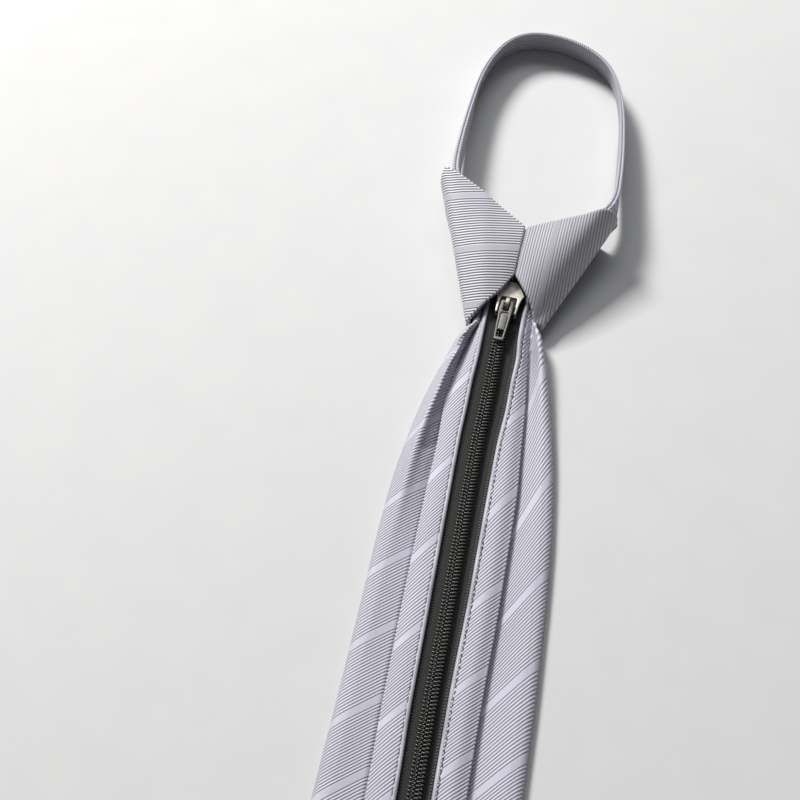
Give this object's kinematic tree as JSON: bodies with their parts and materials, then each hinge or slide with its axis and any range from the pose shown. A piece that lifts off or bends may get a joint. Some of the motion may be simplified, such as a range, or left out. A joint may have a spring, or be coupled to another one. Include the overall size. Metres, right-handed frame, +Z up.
{
  "type": "zipper tie",
  "caption": "Slim ready-tied necktie with a shaped knot, a short neck loop and a zipper down the back of its blade; lies face down, zipper side up.",
  "frame": {"origin": "middle of the bounding box's underside, on the table that the tie lies on", "axes": "+Y along the tie from the blade's tip to the neck loop, +Z up from the table through the face-down front to the zipper side, +X to the right of someone who looks at the zipper with the loop away from them"},
  "size_m": [0.0666, 0.563, 0.0241],
  "materials": {
    "cloth": "satin rep with fine diagonal ribs and smooth stripes",
    "knot_cloth": "satin rep with fine ribs",
    "strip_cloth": "satin rep, stitched along the fold",
    "band_cloth": "folded satin rep",
    "tape": "woven tape, matte",
    "coil": "nylon, slight sheen",
    "slider": "warm nickel, satin",
    "pull": "grey metal, satin with bright edges"
  },
  "bodies": {
    "tie": {"blade": "cloth", "knot_wrap": "knot_cloth", "zip_strip_left": "strip_cloth", "zip_strip_right": "strip_cloth", "zip_tape_left": "tape", "zip_tape_right": "tape", "zip_coil_left": "coil", "zip_coil_right": "coil", "bottom_stop": "coil", "slider_body": "slider", "neck_band": "band_cloth"},
    "pull": {"pull_tab": "pull"}
  },
  "joints": [
    {"name": "pull_swing", "type": "hinge", "parent": "tie", "child": "pull", "pos_m": [0.00067, 0.1449, 0.01115], "axis": [-0.9968, 0.0802, 0], "range_deg": [0, 140]}
  ]
}
